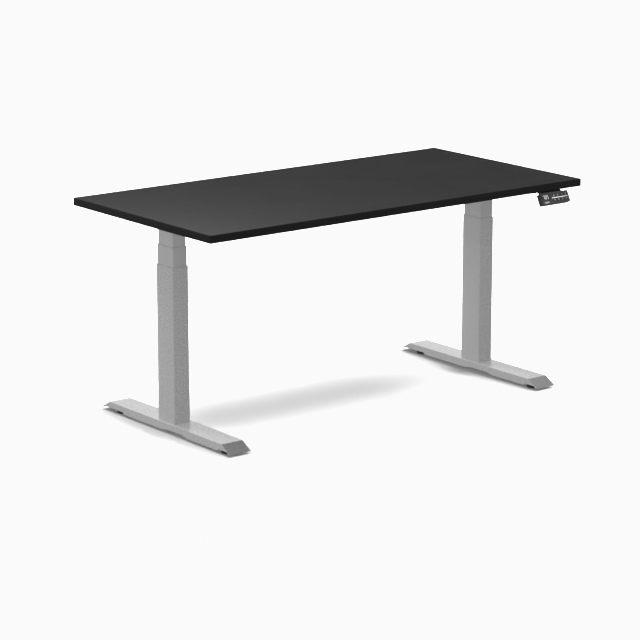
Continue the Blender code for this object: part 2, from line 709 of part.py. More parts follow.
def make_cables():
    """The two motor leads and the control panel's lead, which the frame holds all the way."""
    port_x = BOX_SIZE[0] / 2 - LEAD_IN_BOX
    for side, sign in (("left", -1), ("right", 1)):
        route = [
            (sign * LEG_X, 0, MOTOR_TOP + GAP),
            (sign * (LEG_X - 0.001), 0, 0.650),
            (sign * (LEG_X - 0.007), 0, 0.6592),
            (sign * (LEG_X - 0.018), 0, LEAD_Z),
            (sign * (LEG_X - 0.060), 0, LEAD_Z),
            (sign * 0.470, 0.012, LEAD_Z - 0.004),
            (sign * 0.330, 0.036, LEAD_Z - 0.002),
            (sign * 0.210, LEAD_PORT_Y + 0.003, LEAD_Z),
            (sign * 0.140, LEAD_PORT_Y, LEAD_Z),
            (sign * port_x, LEAD_PORT_Y, LEAD_Z),
        ]
        make_cable(f"{side}_motor_lead", route, MOTOR_LEAD_RADIUS, 0.012)
    route = [
        (FACE_X - NECK_HALF_WIDTH - 0.006, -0.3500, UNDERSIDE - 0.0060),
        (FACE_X - NECK_HALF_WIDTH - 0.018, -0.3440, UNDERSIDE - 0.0065),
        (0.520, -0.3150, UNDERSIDE - 0.0090),
        (0.440, -0.2500, UNDERSIDE - 0.0140),
        (0.360, -0.1800, UNDERSIDE - 0.0240),
        (0.300, -0.1280, UNDERSIDE - 0.0300),
        (0.255, -0.0900, UNDERSIDE - 0.0302),
        (0.205, -0.0480, UNDERSIDE - 0.0220),
        (0.150, HANDSET_PORT_Y - 0.002, LEAD_Z),
        (port_x + 0.010, HANDSET_PORT_Y, LEAD_Z),
        (port_x, HANDSET_PORT_Y, LEAD_Z),
    ]
    make_cable("handset_lead", route, HANDSET_LEAD_RADIUS, 0.010)


clear_scene()
PARTS = make_collection("standing_desk")
CUTTERS = make_collection("cutters")
POWDER_COAT = make_material("silver_powder_coat", (0.33, 0.33, 0.33), 0.45)
STEEL = make_material("zinc_plated_steel", (0.55, 0.55, 0.56), 0.35, 1.0)
DARK_STEEL = make_material("black_coated_steel", (0.03, 0.03, 0.03), 0.5)
ZINC = make_material("die_cast_zinc", (0.45, 0.45, 0.46), 0.5, 1.0)
POLYMER = make_material("acetal", (0.10, 0.10, 0.10), 0.5)
BLACK_RUBBER = make_material("black_rubber", (0.02, 0.02, 0.02), 0.8)
BLACK_PLASTIC = make_material("black_plastic", (0.03, 0.03, 0.03), 0.5)
GLOSS_BLACK = make_material("gloss_black", (0.05, 0.05, 0.05), 0.25)
LAMINATE = make_material("black_laminate", (0.06, 0.06, 0.06), 0.55)

DESK = make_empty("desk", (0, HOME_Y, 0))
tabletop_low = (-TOP_WIDTH / 2, -TOP_DEPTH / 2, UNDERSIDE)
tabletop_high = (TOP_WIDTH / 2, TOP_DEPTH / 2, DESK_HEIGHT)
box_between("tabletop", tabletop_low, tabletop_high, LAMINATE, DESK, 0.0012)
for side, sign in (("left", -1), ("right", 1)):
    leg_axis = make_empty(f"{side}_leg_axis", (sign * LEG_X, 0, 0), DESK)
    make_foot(side, sign * LEG_X)
    make_glides(side, sign * LEG_X)
    make_fixed_stage(side, leg_axis)
    make_middle_stage(side, leg_axis)
    make_inner_stage(side, leg_axis, -sign)
    make_side_bracket(side, sign * LEG_X, -sign)
make_rails()
make_control_box()
make_handset()
make_cables()
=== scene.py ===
"""The looks of a height-adjustable standing desk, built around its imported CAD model."""

import json
import math

import bmesh
import bpy
from mathutils import Matrix, Vector


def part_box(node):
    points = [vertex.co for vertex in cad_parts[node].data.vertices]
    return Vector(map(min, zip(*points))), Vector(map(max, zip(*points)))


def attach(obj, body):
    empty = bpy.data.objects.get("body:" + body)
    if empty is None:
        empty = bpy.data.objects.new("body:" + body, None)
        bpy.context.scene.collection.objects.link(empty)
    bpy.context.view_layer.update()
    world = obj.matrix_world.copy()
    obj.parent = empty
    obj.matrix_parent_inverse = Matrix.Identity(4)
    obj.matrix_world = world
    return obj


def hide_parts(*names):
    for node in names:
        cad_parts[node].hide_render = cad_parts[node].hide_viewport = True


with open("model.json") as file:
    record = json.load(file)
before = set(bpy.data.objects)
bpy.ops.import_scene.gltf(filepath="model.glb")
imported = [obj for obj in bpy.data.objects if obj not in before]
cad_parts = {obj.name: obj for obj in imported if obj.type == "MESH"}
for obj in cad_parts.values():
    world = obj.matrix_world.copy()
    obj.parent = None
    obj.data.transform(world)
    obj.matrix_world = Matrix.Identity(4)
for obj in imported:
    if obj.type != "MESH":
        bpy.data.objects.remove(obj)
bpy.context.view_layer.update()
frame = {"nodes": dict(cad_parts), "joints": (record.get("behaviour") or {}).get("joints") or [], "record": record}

NODES = frame["nodes"]
BODY_OF = {node: body for body, nodes in frame["record"]["behaviour"]["bodies"].items() for node in nodes}
SIDES = (("left", -1), ("right", 1))
ENDS = (("front", -1), ("rear", 1))
CORNERS = ((-1, -1), (-1, 1), (1, -1), (1, 1))
QUADRANTS = ((1, 1), (-1, 1), (-1, -1), (1, -1))


# ---------------------------------------------------------------- shader graphs


class Graph:
    """A material's node tree, with short calls for the nodes that the finishes share."""

    def __init__(self, name, base, roughness, metallic=0.0, specular=0.5):
        self.material = bpy.data.materials.new(name)
        self.material.use_nodes = True
        self.tree = self.material.node_tree
        self.shader = self.tree.nodes["Principled BSDF"]
        self.shader.inputs["Base Color"].default_value = (*base, 1.0)
        self.shader.inputs["Roughness"].default_value = roughness
        self.shader.inputs["Metallic"].default_value = metallic
        self.shader.inputs["Specular IOR Level"].default_value = specular
        self.base = base
        self.place = self.tree.nodes.new("ShaderNodeTexCoord").outputs["Object"]
        self.normal = None

    def node(self, kind, inputs=None, **settings):
        made = self.tree.nodes.new(kind)
        for key, value in settings.items():
            setattr(made, key, value)
        for key, value in (inputs or {}).items():
            if isinstance(value, bpy.types.NodeSocket):
                self.tree.links.new(value, made.inputs[key])
            else:
                made.inputs[key].default_value = value
        return made

    def stretched(self, scale):
        """The object's own coordinates, stretched along its axes."""
        return self.node("ShaderNodeMapping", {"Vector": self.place, "Scale": scale}).outputs["Vector"]

    def noise(self, scale, detail=3.0, stretch=None, distortion=0.0):
        place = self.stretched(stretch) if stretch else self.place
        inputs = {"Vector": place, "Scale": scale, "Detail": detail, "Distortion": distortion}
        return self.node("ShaderNodeTexNoise", inputs).outputs["Fac"]

    def cells(self, scale, feature="F1"):
        inputs = {"Vector": self.place, "Scale": scale}
        return self.node("ShaderNodeTexVoronoi", inputs, feature=feature).outputs["Distance"]

    def spread(self, value, low, high, to_low=0.0, to_high=1.0):
        """Maps a value from one range to another, clamped."""
        inputs = {"Value": value, "From Min": low, "From Max": high, "To Min": to_low, "To Max": to_high}
        return self.node("ShaderNodeMapRange", inputs).outputs["Result"]

    def math(self, operation, first, second):
        return self.node("ShaderNodeMath", {0: first, 1: second}, operation=operation).outputs[0]

    def blend(self, first, share, second, second_share):
        """The sum of two values, each times its share."""
        return self.math(
            "ADD", self.math("MULTIPLY", first, share), self.math("MULTIPLY", second, second_share)
        )

    def tint(self, value, dark, light):
        """Colours the surface from dark to light shares of its base colour."""
        mix = self.node("ShaderNodeMix", {"Factor": value}, data_type="RGBA")
        mix.inputs["A"].default_value = (*(c * dark for c in self.base), 1.0)
        mix.inputs["B"].default_value = (*(c * light for c in self.base), 1.0)
        colour = next(o for o in mix.outputs if o.type == "RGBA")
        self.tree.links.new(colour, self.shader.inputs["Base Color"])

    def roughness(self, value, low, high):
        """Drives the roughness from low to high by the middle half of the value's range."""
        self.tree.links.new(self.spread(value, 0.25, 0.75, low, high), self.shader.inputs["Roughness"])

    def bump(self, height, strength, distance):
        inputs = {"Height": height, "Strength": strength, "Distance": distance}
        if self.normal:
            inputs["Normal"] = self.normal
        self.normal = self.node("ShaderNodeBump", inputs).outputs["Normal"]
        self.tree.links.new(self.normal, self.shader.inputs["Normal"])


def powder_coat(name, base, roughness, metallic=0.0, worn_along_z=False):
    """Satin powder coat: orange peel, fine mineral sparkle and a faint unevenness of tone."""
    graph = Graph(name, base, roughness, metallic)
    peel = graph.noise(520, 2.0)
    flakes = graph.cells(2600)
    cloud = graph.noise(9, 3.0)
    tone = graph.blend(cloud, 0.6, flakes, 0.5)
    if worn_along_z:
        streaks = graph.noise(260, 2.0, stretch=(1.0, 1.0, 0.012))
        tone = graph.math("ADD", tone, graph.math("MULTIPLY", graph.spread(streaks, 0.5, 0.8), 0.25))
    graph.tint(graph.spread(tone, 0.25, 0.85), 0.97, 1.03)
    sheen = graph.math("ADD", graph.math("MULTIPLY", peel, 0.5), 0.25)
    graph.roughness(sheen, roughness - 0.06, roughness + 0.06)
    graph.bump(peel, 0.018, 0.0002)
    graph.bump(flakes, 0.012, 0.0001)
    return graph.material


def melamine(name, base, roughness):
    """Black melamine: a fine pebbled press-plate texture with faint smudges and pores."""
    graph = Graph(name, base, roughness, specular=0.022)
    pebbles = graph.cells(1150, "SMOOTH_F1")
    pores = graph.noise(420, 2.0, stretch=(0.12, 1.0, 1.0))
    smudge = graph.noise(3.2, 4.0, distortion=0.6)
    graph.tint(graph.spread(graph.blend(smudge, 0.5, pores, 0.5), 0.3, 0.7), 0.88, 1.12)
    graph.roughness(smudge, roughness - 0.05, roughness + 0.06)
    graph.bump(pebbles, 0.18, 0.0003)
    graph.bump(pores, 0.08, 0.0002)
    return graph.material


def edge_band(name, base, roughness):
    """ABS edging: smoother than the board, with faint milling marks across its thickness."""
    graph = Graph(name, base, roughness, specular=0.10)
    mill = graph.noise(900, 2.0, stretch=(0.05, 0.05, 1.0))
    grain = graph.noise(700, 2.0)
    graph.tint(graph.spread(grain, 0.3, 0.7), 0.9, 1.12)
    graph.roughness(mill, roughness - 0.05, roughness + 0.08)
    graph.bump(mill, 0.08, 0.0002)
    return graph.material


def moulded_plastic(name, base, roughness, grain_scale=1700):
    """Injection-moulded plastic with a spark-eroded texture."""
    graph = Graph(name, base, roughness, specular=0.45)
    grain = graph.cells(grain_scale)
    cloud = graph.noise(22, 3.0)
    graph.tint(graph.spread(cloud, 0.3, 0.7), 0.9, 1.1)
    graph.roughness(cloud, roughness - 0.05, roughness + 0.05)
    graph.bump(grain, 0.12, 0.0002)
    return graph.material


def smooth_panel(name, base, roughness):
    """Semi-gloss screen-printed panel with slight finger marks."""
    graph = Graph(name, base, roughness, specular=0.5)
    marks = graph.noise(60, 4.0, distortion=1.2)
    grain = graph.noise(2400, 1.0)
    graph.tint(graph.spread(marks, 0.3, 0.7), 0.95, 1.06)
    graph.roughness(marks, roughness - 0.05, roughness + 0.10)
    graph.bump(grain, 0.04, 0.0001)
    return graph.material


def plated_metal(name, base, roughness, stretch=(1.0, 1.0, 0.05)):
    """Drawn or plated metal: fine lines along the piece, cloudy plating."""
    graph = Graph(name, base, roughness, metallic=1.0)
    lines = graph.noise(900, 2.0, stretch=stretch)
    cloud = graph.noise(45, 3.0)
    graph.tint(graph.spread(cloud, 0.3, 0.7), 0.86, 1.08)
    graph.roughness(lines, roughness - 0.08, roughness + 0.10)
    graph.bump(lines, 0.10, 0.0001)
    return graph.material


def rubber(name, base, roughness):
    """Moulded rubber or cable jacket: a dull fine grain with a little dust."""
    graph = Graph(name, base, roughness, specular=0.3)
    grain = graph.noise(1300, 3.0)
    dust = graph.noise(70, 4.0)
    graph.tint(graph.spread(dust, 0.35, 0.75), 0.85, 1.5)
    graph.roughness(dust, roughness - 0.05, roughness + 0.05)
    graph.bump(grain, 0.15, 0.0002)
    return graph.material


def printed_ink(name, base, glow=0.0):
    """Light ink, or a lit display segment where it glows."""
    graph = Graph(name, base, 0.5)
    grain = graph.noise(1800, 2.0)
    graph.tint(graph.spread(grain, 0.3, 0.7), 0.92, 1.05)
    graph.bump(grain, 0.05, 0.00005)
    if glow:
        graph.shader.inputs["Emission Color"].default_value = (*base, 1.0)
        graph.shader.inputs["Emission Strength"].default_value = glow
    return graph.material


SILVER, COAT_METALLIC = (0.50, 0.50, 0.50), 0.35
COAT = powder_coat("silver_powder_coat", SILVER, 0.27, COAT_METALLIC)
COAT_SLIDING = powder_coat("silver_powder_coat_sliding", SILVER, 0.25, COAT_METALLIC, worn_along_z=True)
BLACK_STEEL = powder_coat("black_coated_steel", (0.022, 0.022, 0.023), 0.5)
BOARD = melamine("black_melamine", (0.011, 0.011, 0.0112), 0.62)
BANDING = edge_band("black_edging", (0.011, 0.011, 0.0112), 0.55)
PLASTIC = moulded_plastic("black_moulded_plastic", (0.024, 0.024, 0.025), 0.5)
ACETAL = moulded_plastic("black_acetal", (0.03, 0.03, 0.03), 0.42, 2400)
PANEL = smooth_panel("panel_foil", (0.055, 0.055, 0.057), 0.38)
KEYTOP = smooth_panel("key_tops", (0.022, 0.022, 0.023), 0.42)
WINDOW = smooth_panel("display_window", (0.012, 0.012, 0.013), 0.22)
ZINC = plated_metal("zinc_plate", (0.62, 0.62, 0.64), 0.34)
STEEL = plated_metal("drawn_steel", (0.50, 0.50, 0.51), 0.30)
CASTING = plated_metal("die_cast_zinc", (0.42, 0.42, 0.43), 0.52, (1.0, 1.0, 1.0))
BRASS = plated_metal("brass", (0.62, 0.46, 0.20), 0.34)
RUBBER = rubber("black_rubber", (0.012, 0.012, 0.012), 0.75)
JACKET = rubber("cable_jacket", (0.018, 0.018, 0.019), 0.55)
INK = printed_ink("white_ink", (0.85, 0.85, 0.85))
LIT = printed_ink("lit_segments", (0.80, 0.81, 0.82), 0.9)


# ---------------------------------------------------------------- mesh helpers


def finished(shape, name, material, sharp=35.0):
    """The bmesh as a mesh with smooth faces and crisp edges."""
    bmesh.ops.recalc_face_normals(shape, faces=shape.faces)
    mesh = bpy.data.meshes.new(name)
    shape.to_mesh(mesh)
    shape.free()
    mesh.shade_smooth()
    mesh.set_sharp_from_angle(angle=math.radians(sharp))
    mesh.materials.append(material)
    return mesh


def piece(name, mesh, body, replaces=(), matrix=None):
    """Puts a mesh in the scene as a piece that rides on a body."""
    obj = bpy.data.objects.new(name, mesh)
    bpy.context.scene.collection.objects.link(obj)
    if matrix is not None:
        obj.matrix_world = matrix
    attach(obj, body)
    if replaces:
        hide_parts(*replaces)
    return obj


def rounded(obj, width, segments=3):
    """Rounds the piece's edges and keeps its flat faces flat."""
    bevel = obj.modifiers.new("rounded edges", "BEVEL")
    bevel.width = width
    bevel.segments = segments
    bevel.limit_method = "ANGLE"
    bevel.angle_limit = math.radians(20.0)
    bevel.miter_outer = "MITER_ARC"
    level = obj.modifiers.new("flat faces", "WEIGHTED_NORMAL")
    level.mode = "FACE_AREA"
    level.weight = 100
    return obj


def refined(node, material, bevel, segments=3):
    """A welded copy of a CAD node with its edges rounded, which is shown in its place."""
    source = NODES[node].data
    shape = bmesh.new()
    verts = [shape.verts.new(vertex.co) for vertex in source.vertices]
    for polygon in source.polygons:
        shape.faces.new([verts[i] for i in polygon.vertices])
    bmesh.ops.remove_doubles(shape, verts=shape.verts, dist=5e-6)
    bmesh.ops.dissolve_limit(shape, angle_limit=math.radians(0.5), verts=shape.verts, edges=shape.edges)
    mesh = finished(shape, f"{node}_finish", material, 180.0)
    return rounded(piece(f"{node}_finish", mesh, BODY_OF[node], [node]), bevel, segments)


def swept_ring(centre, size, corner, profile, arc_steps=8):
    """Carries a closed (outward, z) profile round a rectangle with round corners."""
    shape = bmesh.new()
    half_x, half_y = size[0] / 2 - corner, size[1] / 2 - corner
    rings = []
    for turn, (sx, sy) in enumerate(QUADRANTS):
        for step in range(arc_steps + 1):
            angle = math.pi / 2 * (turn + step / arc_steps)
            out = Vector((math.cos(angle), math.sin(angle), 0.0))
            base = Vector((centre[0] + sx * half_x, centre[1] + sy * half_y, 0.0)) + corner * out
            rings.append([shape.verts.new(base + u * out + Vector((0, 0, z))) for u, z in profile])
    for ring, following in zip(rings, rings[1:] + rings[:1]):
        for i in range(len(profile)):
            j = (i + 1) % len(profile)
            shape.faces.new((ring[i], following[i], following[j], ring[j]))
    return shape


def turned(profile, steps=40):
    """A solid of revolution on Z from (radius, z) points that start and end on the axis."""
    shape = bmesh.new()
    line = [shape.verts.new((radius, 0.0, z)) for radius, z in profile]
    edges = [shape.edges.new(pair) for pair in zip(line, line[1:])]
    bmesh.ops.spin(
        shape, geom=line + edges, axis=(0, 0, 1), cent=(0, 0, 0), angle=2 * math.pi, steps=steps
    )
    bmesh.ops.remove_doubles(shape, verts=shape.verts, dist=1e-7)
    return shape


def slabs(outlines, low, high):
    """Flat outlines in X and Y, each drawn out from low to high, in one mesh."""
    shape = bmesh.new()
    for outline in outlines:
        bottom = [shape.verts.new((x, y, low)) for x, y in outline]
        top = [shape.verts.new((x, y, high)) for x, y in outline]
        shape.faces.new(bottom)
        shape.faces.new(top)
        for i in range(len(outline)):
            j = (i + 1) % len(outline)
            shape.faces.new((bottom[i], bottom[j], top[j], top[i]))
    return shape


def boxes(corners):
    """Axis-aligned boxes, given as (low, high) corners, in one mesh."""
    shape = bmesh.new()
    for low, high in corners:
        low, high = Vector(low), Vector(high)
        made = bmesh.ops.create_cube(shape, size=1.0)["verts"]
        bmesh.ops.scale(shape, vec=high - low, verts=made)
        bmesh.ops.translate(shape, vec=(low + high) / 2, verts=made)
    return shape


def cut(mesh, cutter_shape):
    """The mesh with the cutter's shape taken out of it."""
    cutter = bpy.data.objects.new("cutter", finished(cutter_shape, "cutter", mesh.materials[0]))
    target = bpy.data.objects.new("target", mesh)
    for obj in (cutter, target):
        bpy.context.scene.collection.objects.link(obj)
    modifier = target.modifiers.new("cut", "BOOLEAN")
    modifier.operation = "DIFFERENCE"
    modifier.object = cutter
    bpy.context.view_layer.update()
    evaluated = target.evaluated_get(bpy.context.evaluated_depsgraph_get())
    result = bpy.data.meshes.new_from_object(evaluated)
    bpy.data.objects.remove(target)
    bpy.data.objects.remove(cutter)
    result.shade_smooth()
    result.set_sharp_from_angle(angle=math.radians(35))
    return result


def rectangle(size_x, size_y, corner, centre, arc_steps=4):
    """The outline of a rectangle with round corners."""
    points = []
    for turn, (sx, sy) in enumerate(QUADRANTS):
        for step in range(arc_steps + 1):
            angle = math.pi / 2 * (turn + step / arc_steps)
            points.append(
                (
                    centre[0] + sx * (size_x / 2 - corner) + corner * math.cos(angle),
                    centre[1] + sy * (size_y / 2 - corner) + corner * math.sin(angle),
                )
            )
    return points


def circle(radius, steps, centre=(0.0, 0.0)):
    angles = [2 * math.pi * step / steps for step in range(steps)]
    return [(centre[0] + radius * math.cos(a), centre[1] + radius * math.sin(a)) for a in angles]


def facing(point, outward):
    """The matrix that stands a piece's Z axis along outward, at point."""
    return Matrix.Translation(Vector(point)) @ Vector(outward).to_track_quat("Z", "Y").to_matrix().to_4x4()


# ---------------------------------------------------------------- fasteners


def socket_screw(name, radius, height, socket):
    """A button-head screw with a hexagon socket, its seat at Z = 0."""
    profile = [
        (0.0, 0.0),
        (radius, 0.0),
        (radius, 0.22 * height),
        (0.93 * radius, 0.55 * height),
        (0.78 * radius, 0.82 * height),
        (0.55 * radius, height),
        (0.0, height),
    ]
    head = finished(turned(profile, 32), name, ZINC)
    return cut(head, slabs([circle(socket, 6)], 0.35 * height, 2 * height))


def cross_screw(name, radius, height):
    """A pan-head screw with a cross recess, its seat at Z = 0."""
    profile = [
        (0.0, 0.0),
        (radius, 0.0),
        (radius, 0.35 * height),
        (0.85 * radius, 0.8 * height),
        (0.55 * radius, height),
        (0.0, height),
    ]
    head = finished(turned(profile, 28), name, ZINC)
    arm, half = 0.52 * radius, 0.11 * radius
    low, high = 0.4 * height, 2 * height
    head = cut(head, boxes([((-arm, -half, low), (arm, half, high))]))
    return cut(head, boxes([((-half, -arm, low), (half, arm, high))]))


M8_BUTTON = socket_screw("m8_button_head", 0.0066, 0.0036, 0.0026)
M6_BUTTON = socket_screw("m6_button_head", 0.0052, 0.0030, 0.0021)
WOOD_SCREW = cross_screw("wood_screw_head", 0.0045, 0.0026)
BOX_SCREW = cross_screw("box_screw_head", 0.0029, 0.0018)
WASHER_WIDTH, WASHER_RIM, WASHER_THICKNESS = 0.017, 0.0040, 0.0012
WASHER_PROFILE = [(0, 0), (0, WASHER_THICKNESS), (-WASHER_RIM, WASHER_THICKNESS), (-WASHER_RIM, 0)]
WASHER = finished(
    swept_ring((0, 0), (WASHER_WIDTH, WASHER_WIDTH), 0.0084999, WASHER_PROFILE, 10), "washer", ZINC
)


def fasten(name, mesh, point, outward, body):
    """Puts a screw or a washer with its seat at point and its head towards outward."""
    return piece(name, mesh, body, matrix=facing(point, outward))


# ---------------------------------------------------------------- worktop


def make_worktop():
    """A melamine-faced board inside a one-millimetre edging that is rounded at its outer arrises."""
    low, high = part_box("tabletop")
    centre, size = (low + high) / 2, high - low
    edging, arris, corner = 0.0010, 0.0009, 0.0025
    quarter = [math.pi / 8 * step for step in range(5)]
    profile = [(-edging, low.z)]
    profile += [(-arris + arris * math.sin(a), low.z + arris - arris * math.cos(a)) for a in quarter]
    profile += [(-arris + arris * math.cos(a), high.z - arris + arris * math.sin(a)) for a in quarter]
    profile += [(-edging, high.z)]
    ring = swept_ring(centre, (size.x, size.y), corner, profile)
    piece("worktop_edging", finished(ring, "worktop_edging", BANDING), "top")
    joint, recess = 0.00006, 0.00003
    inset = 2 * (edging + joint)
    outline = rectangle(size.x - inset, size.y - inset, corner - edging, centre, 6)
    board = finished(slabs([outline], low.z + recess, high.z - recess), "worktop_board", BOARD)
    board = piece("worktop_board", board, "top", ["tabletop"])
    rounded(board, 0.00015, 2)


# ---------------------------------------------------------------- columns and feet


def make_tubes():
    """The three nested tubes of each column, with rolled corners and lightly broken rims."""
    wall, rim, corner = 0.0015, 0.00035, 0.003
    for side, _ in SIDES:
        for stage, material in (("outer", COAT), ("middle", COAT_SLIDING)):
            node = f"{side}_{stage}_tube"
            low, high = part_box(node)
            profile = [
                (0.0, low.z + rim),
                (0.0, high.z - rim),
                (-rim, high.z),
                (rim - wall, high.z),
                (-wall, high.z - rim),
                (-wall, low.z + rim),
                (rim - wall, low.z),
                (-rim, low.z),
            ]
            size = (high.x - low.x, high.y - low.y)
            shape = swept_ring((low + high) / 2, size, corner, profile, 10)
            mesh = finished(shape, f"{node}_finish", material)
            piece(f"{node}_finish", mesh, BODY_OF[node], [node])
        refined(f"{side}_inner_tube", COAT_SLIDING, 0.0003, 2)
        for node in (f"{side}_outer_guide", f"{side}_middle_guide", f"{side}_inner_shoe"):
            refined(node, ACETAL, 0.00015, 2)


def make_feet():
    """The feet, the base plates with their bolts seen from below, and the levelling feet."""
    sheet, bolt_x, bolt_y = 0.003, 0.019, 0.032
    for side, _ in SIDES:
        refined(f"{side}_foot", COAT, 0.0011, 4)
        refined(f"{side}_base_plate", STEEL, 0.0004, 2)
        low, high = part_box(f"{side}_outer_tube")
        centre = (low + high) / 2
        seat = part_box(f"{side}_foot")[1].z - sheet
        for number, (dx, dy) in enumerate(CORNERS, 1):
            spot = (centre.x + dx * bolt_x, centre.y + dy * bolt_y, seat)
            fasten(f"{side}_foot_washer_{number}", WASHER, spot, (0, 0, -1), "base")
            spot = (*spot[:2], seat - WASHER_THICKNESS)
            fasten(f"{side}_foot_bolt_{number}", M8_BUTTON, spot, (0, 0, -1), "base")
        for end, _ in ENDS:
            make_glide(f"{side}_{end}_glide")


def make_glide(node):
    """A levelling foot: a ribbed rubber pad, a hexagon and a threaded stud."""
    low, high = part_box(node)
    centre = (low + high) / 2
    stand = Matrix.Translation((centre.x, centre.y, low.z))
    body = BODY_OF[node]
    pad_top, hexagon_top, stud_top = 0.0088, 0.0105, 0.0295
    pad_profile = [
        (0.0, 0.0),
        (0.0260, 0.0),
        (0.0272, 0.0008),
        (0.0275, 0.0020),
        (0.0271, 0.0028),
        (0.0266, 0.0030),
        (0.0266, 0.0034),
        (0.0269, 0.0038),
        (0.0260, 0.0068),
        (0.0248, 0.0078),
        (0.0220, 0.0084),
        (0.0086, pad_top),
        (0.0, pad_top),
    ]
    pad = finished(turned(pad_profile, 48), f"{node}_pad", RUBBER, 50)
    piece(f"{node}_pad", pad, body, [node], stand)
    hexagon = finished(slabs([circle(0.0082, 6)], pad_top, hexagon_top), f"{node}_hexagon", ZINC)
    rounded(piece(f"{node}_hexagon", hexagon, body, matrix=stand), 0.0004, 2)
    stud_profile = [(0.0, hexagon_top)]
    pitch, turns, root, crest = 0.00125, 15, 0.0034, 0.0040
    for turn in range(turns):
        z = hexagon_top + turn * pitch
        stud_profile += [(crest, z + 0.15 * pitch), (crest, z + 0.35 * pitch), (root, z + 0.75 * pitch)]
    stud_profile += [(root, stud_top), (0.0, stud_top)]
    stud = finished(turned(stud_profile, 24), f"{node}_stud", ZINC)
    piece(f"{node}_stud", stud, body, matrix=stand)


# ---------------------------------------------------------------- frame under the top


def make_frame():
    """The side brackets, leg heads and rails, with their screws and bolts."""
    sheet, head_gap, head_bolt_x, head_bolt_y = 0.003, 0.0003, 0.022, 0.061
    for side, sign in SIDES:
        refined(f"{side}_side_bracket", BLACK_STEEL, 0.0007)
        refined(f"{side}_leg_head", BLACK_STEEL, 0.0006)
        low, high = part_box(f"{side}_side_bracket")
        centre_x, centre_y = (low.x + high.x) / 2, (low.y + high.y) / 2
        ceiling = high.z - sheet
        plate_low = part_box(f"{side}_inner_tube")[1].z + head_gap
        for end, towards in ENDS:
            refined(f"{side}_{end}_rail", BLACK_STEEL, 0.0005)
            for number, reach in enumerate((0.105, 0.165, 0.235), 1):
                spot = (centre_x, centre_y + towards * reach, ceiling)
                fasten(f"{side}_{end}_board_screw_{number}", WOOD_SCREW, spot, (0, 0, -1), "top")
            for number, dx in enumerate((-head_bolt_x, head_bolt_x), 1):
                spot = (centre_x + dx, centre_y + towards * head_bolt_y, plate_low)
                fasten(f"{side}_{end}_head_bolt_{number}", M6_BUTTON, spot, (0, 0, -1), "top")
            make_rail_end(side, sign, end)


def make_rail_end(side, sign, end):
    """Two welded tabs beside the end of a rail, bolted to the side bracket's flange."""
    low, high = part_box(f"{side}_{end}_rail")
    bracket_low, bracket_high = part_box(f"{side}_side_bracket")
    flange = bracket_high.x if sign < 0 else bracket_low.x
    weld_gap, tab_thickness, tab_width, margin = 0.0002, 0.0028, 0.0150, 0.0006
    inner = flange - sign * tab_thickness
    low_x, high_x = sorted((flange - sign * weld_gap, inner))
    spans = ((low.y - tab_width, low.y), (high.y, high.y + tab_width))
    for number, (start, finish) in enumerate(spans, 1):
        corner_low = (low_x, start, bracket_low.z + margin)
        corner_high = (high_x, finish, high.z - margin)
        name = f"{side}_{end}_rail_tab_{number}"
        tab = finished(boxes([(corner_low, corner_high)]), name, BLACK_STEEL)
        rounded(piece(name, tab, "top"), 0.0006)
        spot = (inner, (start + finish) / 2, (corner_low[2] + corner_high[2]) / 2)
        fasten(f"{side}_{end}_rail_bolt_{number}", M6_BUTTON, spot, (-sign, 0, 0), "top")
    if side == "left":
        for number, back in enumerate((0.018, 0.058), 1):
            spot = (high.x - back, (low.y + high.y) / 2, low.z)
            fasten(f"{end}_rail_set_screw_{number}", M6_BUTTON, spot, (0, 0, -1), "top")


# ---------------------------------------------------------------- control box


def make_control_box():
    """The control box: a case, a slotted lid on four screws, and the pins of the mains inlet."""
    refined("control_box_case", PLASTIC, 0.0008)
    low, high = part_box("control_box_lid")
    centre = (low + high) / 2
    outline = rectangle(high.x - low.x, high.y - low.y, 0.003, centre)
    lid = finished(slabs([outline], low.z, high.z), "control_box_lid_finish", PLASTIC)
    slots = []
    for row in range(8):
        y = centre.y - 0.028 + 0.007 * row
        slots.append(((centre.x - 0.030, y, low.z - 0.01), (centre.x + 0.045, y + 0.0025, high.z + 0.01)))
    lid = cut(lid, boxes(slots))
    lid = piece("control_box_lid_finish", lid, "top", ["control_box_lid"])
    rounded(lid, 0.0004, 2)
    screw_x, screw_y = 0.102, 0.042
    for number, (dx, dy) in enumerate(CORNERS, 1):
        spot = (centre.x + dx * screw_x, centre.y + dy * screw_y, low.z)
        fasten(f"control_box_screw_{number}", BOX_SCREW, spot, (0, 0, -1), "top")
    refined("power_inlet", PLASTIC, 0.0005)
    low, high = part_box("power_inlet")
    centre = (low + high) / 2
    pin_root, pin_tip, half_y, half_z = 0.0040, 0.0162, 0.0009, 0.0020
    for number, (dy, dz) in enumerate(((-0.0067, 0.0018), (0.0, -0.0030), (0.0067, 0.0018)), 1):
        pin_low = (low.x + pin_root, centre.y + dy - half_y, centre.z + dz - half_z)
        pin_high = (low.x + pin_tip, centre.y + dy + half_y, centre.z + dz + half_z)
        pin = finished(boxes([(pin_low, pin_high)]), f"inlet_pin_{number}", BRASS)
        rounded(piece(f"inlet_pin_{number}", pin, "top"), 0.0004, 2)


# ---------------------------------------------------------------- control panel


